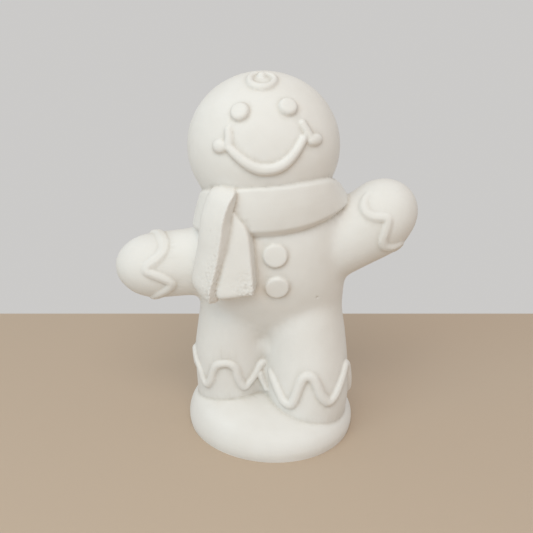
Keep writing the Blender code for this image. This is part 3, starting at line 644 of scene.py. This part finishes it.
def flat_underside(obj):
    """Cut the body off exactly at the table."""
    bm = bmesh.new()
    bm.from_mesh(obj.data)
    cut = bmesh.ops.bisect_plane(bm, geom=bm.verts[:] + bm.edges[:] + bm.faces[:], dist=0.00008,
                                 plane_co=(0, 0, 0), plane_no=(0, 0, -1), clear_outer=True)
    rim = [v for v in cut['geom_cut'] if isinstance(v, bmesh.types.BMVert)]
    for v in rim:
        v.co.z = 0.0
    bmesh.ops.remove_doubles(bm, verts=rim, dist=0.00015)
    edges = [e for e in bm.edges if e.is_boundary]
    bmesh.ops.contextual_create(bm, geom=edges)
    bmesh.ops.recalc_face_normals(bm, faces=bm.faces[:])
    bmesh.ops.triangulate(bm, faces=bm.faces[:])
    bmesh.ops.translate(bm, verts=bm.verts[:], vec=(-BASE_CENTRE[0], -BASE_CENTRE[1], 0.0))
    bm.to_mesh(obj.data)
    bm.free()


# ---------------------------------------------------------------- fine relief
PINHOLE = (21.5, -20.0, 69.1)        # a small pit on the belly, and its radius
PINHOLE_R = 0.4


def relief(obj):
    """Hand-cast unevenness, the knit of the scarf's ends and a pinhole."""
    mesh = obj.data
    n = len(mesh.vertices)
    co = np.empty(n * 3)
    mesh.vertices.foreach_get("co", co)
    co = co.reshape(-1, 3)
    no = np.empty(n * 3)
    mesh.vertex_normals.foreach_get("vector", no)
    no = no.reshape(-1, 3)
    mm = co / MM
    push = np.zeros(n)
    broad = np.array([noise.noise(Vector(p) * 0.055) for p in mm])
    mid = np.array([noise.noise(Vector(p) * 0.21 + Vector((7.0, 3.0, 1.0))) for p in mm])
    push += 0.16 * broad + 0.05 * mid
    # the knitted, fringed stretch along the scarf's hanging ends
    x, y, z = mm[:, 0], mm[:, 1], mm[:, 2]
    front = np.clip((-y - 23.5) / 2.0, 0.0, 1.0)
    low = np.clip((90.0 - z) / 14.0, 0.0, 1.0) * np.clip((z - 68.5) / 1.5, 0.0, 1.0)
    span = np.clip((x + 32.0) / 2.0, 0.0, 1.0) * np.clip((-3.4 - x) / 1.0, 0.0, 1.0)
    ridge_x = np.interp(z, [70.0, 78.0, 84.0, 92.0, 100.0, 107.0], [-22.6, -22.3, -20.8, -19.0, -17.7, -16.6])
    near_ridge = np.exp(-((x - ridge_x + 1.0) / 3.2) ** 2) * np.clip((104.0 - z) / 20.0, 0.0, 1.0)
    near_b = np.exp(-((x + 7.5) / 4.5) ** 2) * np.clip((88.0 - z) / 9.0, 0.0, 1.0)
    weight = front * span * np.clip((z - 68.5) / 1.5, 0.0, 1.0) * np.clip(0.75 * near_ridge + near_b + 0.12 * low, 0.0, 1.0)
    index = np.nonzero(weight > 0.02)[0]
    for i in index:
        p = Vector(mm[i])
        bead = noise.noise(p * 1.0) * 0.55 + noise.noise(p * 1.9 + Vector((3.0, 9.0, 2.0))) * 0.45
        push[i] += weight[i] * 0.55 * bead
    # pinhole
    d = np.sqrt(((mm - np.array(PINHOLE)) ** 2)[:, [0, 2]].sum(axis=1))
    hole = np.exp(-(d / PINHOLE_R) ** 2) * (y < -15.0)
    push -= 0.6 * hole
    keep = np.clip(z / 2.0, 0.0, 1.0)
    co += no * (push * keep)[:, None] * MM
    mesh.vertices.foreach_set("co", co.ravel())
    mesh.update()


def paint_crease_shade(obj, steps=10, depth=0.32):
    """Keeps how deep each point lies in a hollow as a point attribute; the material darkens the colour by it, as
    painted shade in the hollows.
    """
    mesh = obj.data
    n = len(mesh.vertices)
    co = np.empty(n * 3)
    mesh.vertices.foreach_get("co", co)
    co = co.reshape(-1, 3)
    no = np.empty(n * 3)
    mesh.vertex_normals.foreach_get("vector", no)
    no = no.reshape(-1, 3)
    ends = np.empty(len(mesh.edges) * 2, dtype=np.int64)
    mesh.edges.foreach_get("vertices", ends)
    a, b = ends[0::2], ends[1::2]
    near = np.maximum(np.bincount(a, minlength=n) + np.bincount(b, minlength=n), 1)

    def blurred(values):
        total = np.bincount(a, values[b], n) + np.bincount(b, values[a], n)
        return 0.5 * values + 0.5 * total / near

    even = co.copy()
    for _ in range(steps):
        for k in range(3):
            even[:, k] = blurred(even[:, k])
    hollow = ((even - co) * no).sum(axis=1) / MM
    hollow = blurred(blurred(np.clip(hollow / depth, 0.0, 1.0)))
    hollow *= np.clip(co[:, 2] / (2.0 * MM), 0.0, 1.0)
    layer = mesh.attributes.new("crease_shade", 'FLOAT', 'POINT')
    layer.data.foreach_set("value", hollow.astype(np.float32))


# ------------------------------------------------------------------ materials
def node(tree, kind, **values):
    made = tree.nodes.new(kind)
    for key, value in values.items():
        if hasattr(made, key):
            setattr(made, key, value)
        else:
            made.inputs[key].default_value = value
    return made


def bisque():
    """Unglazed white earthenware: chalky, fine-grained, faintly mottled."""
    material = bpy.data.materials.new("bisque")
    material.use_nodes = True
    tree = material.node_tree
    links = tree.links
    shader = next(n for n in tree.nodes if n.type == 'BSDF_PRINCIPLED')
    shader.inputs["Roughness"].default_value = 0.92
    shader.inputs["Specular IOR Level"].default_value = 0.22
    where = tree.nodes.new('ShaderNodeTexCoord')
    cloud = tree.nodes.new('ShaderNodeTexNoise')
    cloud.inputs["Scale"].default_value = 55.0
    cloud.inputs["Detail"].default_value = 4.0
    cloud.inputs["Roughness"].default_value = 0.55
    links.new(where.outputs["Object"], cloud.inputs["Vector"])
    tint = tree.nodes.new('ShaderNodeValToRGB')
    tint.color_ramp.elements[0].position = 0.30
    tint.color_ramp.elements[0].color = (0.80, 0.785, 0.755, 1.0)
    tint.color_ramp.elements[1].position = 0.70
    tint.color_ramp.elements[1].color = (0.84, 0.832, 0.81, 1.0)
    links.new(cloud.outputs["Fac"], tint.inputs["Fac"])
    # painted shade: the colour darkens in the hollows beside the raised lines, by how deep each point lies in
    # one
    crease_shade = tree.nodes.new('ShaderNodeAttribute')
    crease_shade.attribute_name = "crease_shade"
    painted_crease_shade = tree.nodes.new('ShaderNodeValToRGB')
    painted_crease_shade.color_ramp.elements[0].position = 0.0
    painted_crease_shade.color_ramp.elements[0].color = (1.0, 1.0, 1.0, 1.0)
    painted_crease_shade.color_ramp.elements[1].position = 1.0
    # colour of the painted shade in the deepest hollows
    painted_crease_shade.color_ramp.elements[1].color = (0.66, 0.62, 0.56, 1.0)
    links.new(crease_shade.outputs["Fac"], painted_crease_shade.inputs["Fac"])
    body_colour = tree.nodes.new('ShaderNodeMixRGB')
    body_colour.blend_type = 'MULTIPLY'
    body_colour.inputs["Fac"].default_value = 1.0
    links.new(tint.outputs["Color"], body_colour.inputs["Color1"])
    links.new(painted_crease_shade.outputs["Color"], body_colour.inputs["Color2"])
    links.new(body_colour.outputs["Color"], shader.inputs["Base Color"])
    rough = tree.nodes.new('ShaderNodeMapRange')
    rough.inputs["To Min"].default_value = 0.84
    rough.inputs["To Max"].default_value = 0.98
    links.new(cloud.outputs["Fac"], rough.inputs["Value"])
    links.new(rough.outputs["Result"], shader.inputs["Roughness"])
    grain = tree.nodes.new('ShaderNodeTexNoise')
    grain.inputs["Scale"].default_value = 1500.0
    grain.inputs["Detail"].default_value = 3.0
    grain.inputs["Roughness"].default_value = 0.6
    links.new(where.outputs["Object"], grain.inputs["Vector"])
    sponge = tree.nodes.new('ShaderNodeTexNoise')
    sponge.inputs["Scale"].default_value = 320.0
    sponge.inputs["Detail"].default_value = 3.0
    links.new(where.outputs["Object"], sponge.inputs["Vector"])
    soft = tree.nodes.new('ShaderNodeBump')
    soft.inputs["Strength"].default_value = 0.25
    soft.inputs["Distance"].default_value = 0.0002
    links.new(sponge.outputs["Fac"], soft.inputs["Height"])
    fine = tree.nodes.new('ShaderNodeBump')
    fine.inputs["Strength"].default_value = 0.35
    fine.inputs["Distance"].default_value = 0.00012
    links.new(grain.outputs["Fac"], fine.inputs["Height"])
    links.new(soft.outputs["Normal"], fine.inputs["Normal"])
    links.new(fine.outputs["Normal"], shader.inputs["Normal"])
    return material


def plain(name, colour, roughness):
    material = bpy.data.materials.new(name)
    material.use_nodes = True
    shader = next(n for n in material.node_tree.nodes if n.type == 'BSDF_PRINCIPLED')
    shader.inputs["Base Color"].default_value = (*colour, 1.0)
    shader.inputs["Roughness"].default_value = roughness
    shader.inputs["Specular IOR Level"].default_value = 0.15
    return material


# ------------------------------------------------------------------ the piece
WORK = bpy.data.collections.new("figurine")
bpy.context.scene.collection.children.link(WORK)

body = soft_body()
smooth_body = body.modifiers.new("finer", 'SUBSURF')
smooth_body.levels = 1
smooth_body.render_levels = 1
body = applied(body)
pieces = details(body)
pieces += [mound(), band(), tail("tail_a", TAIL_A, 0.9, 0.0), tail("tail_b", TAIL_B, 0.3, 0.17)]
figure = fuse("figure", [body] + pieces, FINE_VOXEL, FINE_STEPS)
largest_shell(figure)
relief(figure)
figure = thin_out(figure, TRIANGLES)
flat_underside(figure)
# how deep each point lies in a hollow, for the painted shade in the material
paint_crease_shade(figure)
figure.name = "bisque_gingerbread_man"
figure.data.name = "bisque_gingerbread_man"
figure.data.materials.clear()
figure.data.materials.append(bisque())
figure.data.shade_smooth()
figure.data.set_sharp_from_angle(angle=math.radians(60.0))

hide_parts("gingerbread_figurine")
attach(figure, "root")

# ---------------------------------------------------------- floor and light
TABLE_EDGE = 0.1186


def slab(name, low, high):
    bm = bmesh.new()
    bmesh.ops.create_cube(bm, size=1.0)
    for v in bm.verts:
        v.co = Vector([lo + (hi - lo) * (c + 0.5) for c, lo, hi in zip(v.co, low, high)])
    mesh = bpy.data.meshes.new(name)
    bm.to_mesh(mesh)
    bm.free()
    obj = bpy.data.objects.new(name, mesh)
    bpy.context.scene.collection.objects.link(obj)
    return obj


floor = slab("floor", (-1.2, -1.2, -0.02), (1.2, TABLE_EDGE, 0.0))
floor.data.materials.append(plain("pale_floor", (0.56, 0.455, 0.355), 0.7))

world = bpy.data.worlds.new("studio")
bpy.context.scene.world = world
world.use_nodes = True
sky = world.node_tree.nodes["Background"]
sky.inputs["Color"].default_value = (0.6, 0.592, 0.582, 1.0)
sky.inputs["Strength"].default_value = 1.0


def lamp(name, place, aim, size, power, colour=(1.0, 1.0, 1.0)):
    light = bpy.data.lights.new(name, 'AREA')
    light.shape = 'DISK'
    light.size = size
    light.energy = power
    light.color = colour
    obj = bpy.data.objects.new(name, light)
    obj.location = place
    obj.rotation_euler = (Vector(aim) - Vector(place)).to_track_quat('-Z', 'Y').to_euler()
    bpy.context.scene.collection.objects.link(obj)
    return obj


lamp("front", (0.0, -0.74, 0.89), (0.0, 0.0, 0.07), 0.7, 3.5, (1.0, 0.94, 0.87))
lamp("side_low", (-0.64, -0.76, 0.53), (0.0, 0.0, 0.07), 0.7, 2.7, (0.52, 0.82, 1.0))
lamp("side_high", (-0.41, -0.48, 0.97), (0.0, 0.0, 0.07), 0.7, 0.85, (1.0, 0.68, 0.25))

# ------------------------------------------------------------------ camera
camera = bpy.data.cameras.new("camera")
camera.sensor_width = 36.0
camera.lens = 850.0 / 533.0 * 36.0
camera.clip_start = 0.01
camera.clip_end = 20.0
viewer = bpy.data.objects.new("camera", camera)
viewer.location = (-0.0022, -0.3504, 0.210)
viewer.rotation_euler = (Vector((-0.0022, -0.0004, 0.076)) - viewer.location).to_track_quat('-Z', 'Y').to_euler()
bpy.context.scene.collection.objects.link(viewer)
bpy.context.scene.camera = viewer
bpy.context.scene.view_settings.view_transform = 'Standard'
